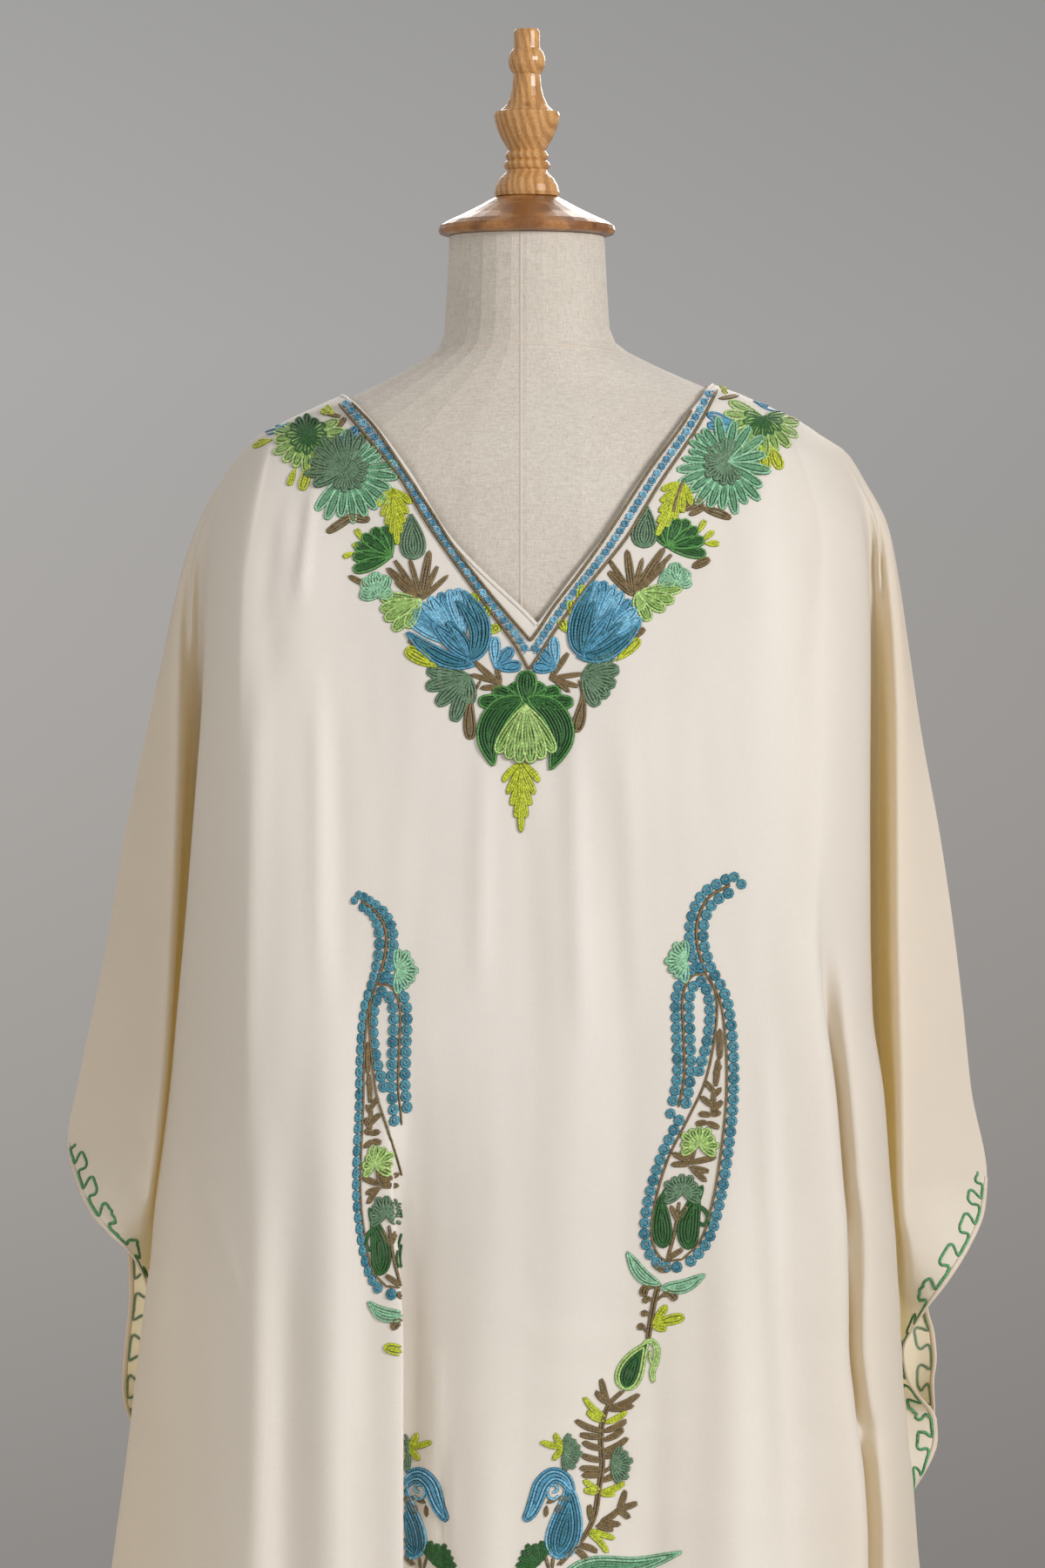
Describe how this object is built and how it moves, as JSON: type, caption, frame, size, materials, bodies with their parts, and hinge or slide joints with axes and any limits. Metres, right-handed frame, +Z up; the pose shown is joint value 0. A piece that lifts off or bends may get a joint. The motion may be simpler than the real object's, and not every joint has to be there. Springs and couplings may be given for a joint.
{
  "type": "kaftan on a dress form",
  "caption": "Long batwing kaftan with a V neck, wide open sleeves and floral embroidery, worn by a limbless dress form with a turned wooden neck knob.",
  "frame": {"origin": "on the floor, under the middle of the stand's round foot", "axes": "+Z up through the finial, the kaftan's front towards -Y, +X to the right as it is seen from the front"},
  "size_m": [0.6592, 0.38, 1.65],
  "materials": {
    "cloth": "smooth plain weave with a soft sheen",
    "linen": "matt linen glued over the form",
    "pale_wood": "varnished",
    "dark_wood": "varnished"
  },
  "bodies": {
    "root": {"front": "cloth", "back": "cloth", "torso": "linen", "neck_cap": "dark_wood", "finial": "pale_wood", "pole": "pale_wood", "base": "dark_wood"}
  },
  "joints": []
}
